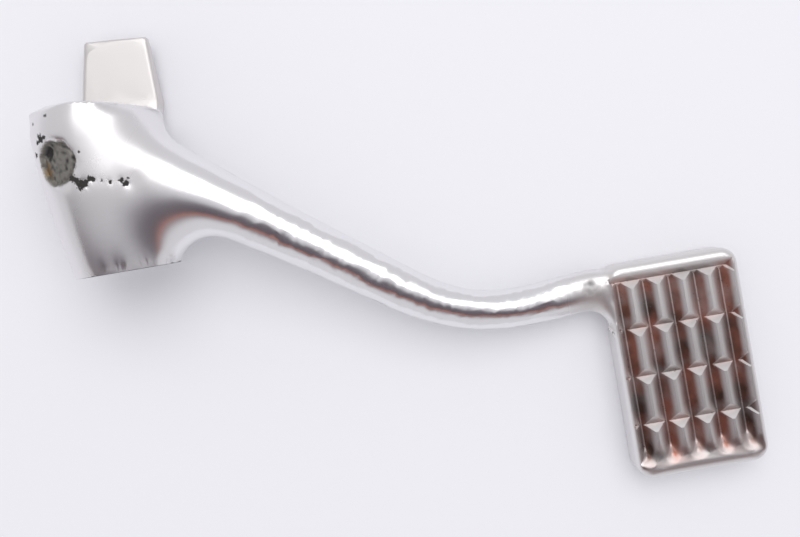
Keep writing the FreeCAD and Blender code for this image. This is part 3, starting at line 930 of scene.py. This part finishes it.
# %% Stage helpers
def flat_card(name, corners, material):
    """A flat four-sided card from its corners, in order."""
    sheet = bpy.data.meshes.new(name)
    sheet.from_pydata(corners, [], [(0, 1, 2, 3)])
    sheet.materials.append(material)
    card = bpy.data.objects.new(name, sheet)
    bpy.context.scene.collection.objects.link(card)
    return card


print("stage helper ready")

# %% [markdown]
# ## The floor
# A matt white card, a hair below the part's lowest point.

# %% Floor
FLOOR_HALF = 3.0
FLOOR_WHITE = (0.90, 0.90, 0.93, 1.0)
FLOOR_GAP = 0.05 * MM
table, _, table_shader = new_material("table_white")
table_shader.inputs["Base Color"].default_value = FLOOR_WHITE
table_shader.inputs["Roughness"].default_value = 1.0
table_shader.inputs["Specular IOR Level"].default_value = 0.0
floor_height = cad_low.z - FLOOR_GAP
quarters = ((-1, -1), (1, -1), (1, 1), (-1, 1))
corners = [(x * FLOOR_HALF, y * FLOOR_HALF, floor_height) for x, y in quarters]
flat_card("floor", corners, table)
print("floor at Z", round(floor_height / MM, 2), "mm")

# %% [markdown]
# ## The room
# A plain, nearly white room gives most of the light.

# %% Room
ROOM_WHITE = (0.95, 0.945, 0.98, 1.0)
ROOM_LIGHT = 0.74
world = bpy.data.worlds.new("room")
bpy.context.scene.world = world
world.use_nodes = True
room = world.node_tree.nodes["Background"]
room.inputs["Color"].default_value = ROOM_WHITE
room.inputs["Strength"].default_value = ROOM_LIGHT
print("room light:", ROOM_LIGHT)

# %% [markdown]
# ## The lamp
# One large soft lamp, behind and above, draws the long highlight on the arm and the soft shadow in front.

# %% Lamp
LAMP_PLACE = Vector((0.22, 0.45, 1.0))
LAMP_AIM = Vector((0.07, -0.03, 0.0))
LAMP_WATTS = 4.8
LAMP_SIZE = (1.2, 0.85)
lamp = bpy.data.lights.new("soft_lamp", "AREA")
lamp.energy = LAMP_WATTS
lamp.shape = "RECTANGLE"
lamp.size, lamp.size_y = LAMP_SIZE
soft_lamp = bpy.data.objects.new("soft_lamp", lamp)
soft_lamp.location = LAMP_PLACE
soft_lamp.rotation_euler = (LAMP_AIM - LAMP_PLACE).to_track_quat("-Z", "Y").to_euler()
bpy.context.scene.collection.objects.link(soft_lamp)
print("lamp:", LAMP_WATTS, "W")

# %% [markdown]
# ## The dark figure
# A card over the near side of the table, with a ramp from pale to dark, one warm line and back to pale. Only
# mirrors see it: it throws no shadow and no light on the floor, and the camera looks past it.

# %% The dark figure that the metal mirrors
FIGURE_HEIGHT = 0.60
FIGURE_SIDE = 1.6
FIGURE_NEAR = 0.02
FIGURE_FAR = -1.05
FIGURE_STOPS = [
    (0.00, (0.69, 0.68, 0.71, 1.0)),
    (0.11, (0.66, 0.65, 0.68, 1.0)),
    (0.21, (0.15, 0.135, 0.155, 1.0)),
    (0.48, (0.09, 0.08, 0.095, 1.0)),
    (0.53, (0.80, 0.27, 0.17, 1.0)),
    (0.58, (0.12, 0.10, 0.11, 1.0)),
    (0.70, (0.42, 0.40, 0.42, 1.0)),
    (0.95, (0.69, 0.68, 0.71, 1.0)),
]
figure = bpy.data.materials.new("dark_figure")
figure.use_nodes = True
figure_tree = figure.node_tree
figure_tree.nodes.remove(figure_tree.nodes["Principled BSDF"])
glow = figure_tree.nodes.new("ShaderNodeEmission")
place = figure_tree.nodes.new("ShaderNodeTexCoord")
split = figure_tree.nodes.new("ShaderNodeSeparateXYZ")
along = figure_tree.nodes.new("ShaderNodeMapRange")
along.inputs["From Min"].default_value = FIGURE_NEAR
along.inputs["From Max"].default_value = FIGURE_FAR
ramp = figure_tree.nodes.new("ShaderNodeValToRGB")
ramp.color_ramp.elements[0].position, ramp.color_ramp.elements[0].color = FIGURE_STOPS[0]
ramp.color_ramp.elements[1].position, ramp.color_ramp.elements[1].color = FIGURE_STOPS[-1]
for position, shade in FIGURE_STOPS[1:-1]:
    ramp.color_ramp.elements.new(position).color = shade
join = figure_tree.links.new
join(place.outputs["Object"], split.inputs["Vector"])
join(split.outputs["Y"], along.inputs["Value"])
join(along.outputs["Result"], ramp.inputs["Fac"])
join(ramp.outputs["Color"], glow.inputs["Color"])
join(glow.outputs["Emission"], figure_tree.nodes["Material Output"].inputs["Surface"])
sides = ((-1, FIGURE_FAR), (1, FIGURE_FAR), (1, FIGURE_NEAR), (-1, FIGURE_NEAR))
card = flat_card("dark_figure", [(x * FIGURE_SIDE, y, FIGURE_HEIGHT) for x, y in sides], figure)
card.visible_camera = False
card.visible_diffuse = False
card.visible_shadow = False
card.visible_transmission = False
print("figure stops:", len(FIGURE_STOPS))

# %% [markdown]
# ## Camera
# The picture was taken from close above, so near parts look larger. The camera points straight down, with
# the frame shifted as the photograph is cropped, and turned until the pad's edges run as they do there.

# %% Camera
EYE = Vector((74.1, -25.0, 240.0)) * MM
ROLL = math.radians(9.8)
FOCAL_PIXELS = 889.0
IMAGE_WIDTH = 800
AXIS_ABOVE_MIDDLE = 40.5
lens = bpy.data.cameras.new("camera")
lens.sensor_width = 36.0
lens.lens = FOCAL_PIXELS / IMAGE_WIDTH * lens.sensor_width
lens.shift_y = -AXIS_ABOVE_MIDDLE / IMAGE_WIDTH
lens.clip_start = 10.0 * MM
camera = bpy.data.objects.new("camera", lens)
camera.location = EYE
camera.rotation_euler = (0.0, 0.0, -ROLL)
bpy.context.scene.collection.objects.link(camera)
bpy.context.scene.camera = camera
bpy.context.scene.view_settings.view_transform = "Standard"
print("lens:", round(lens.lens, 1), "mm")
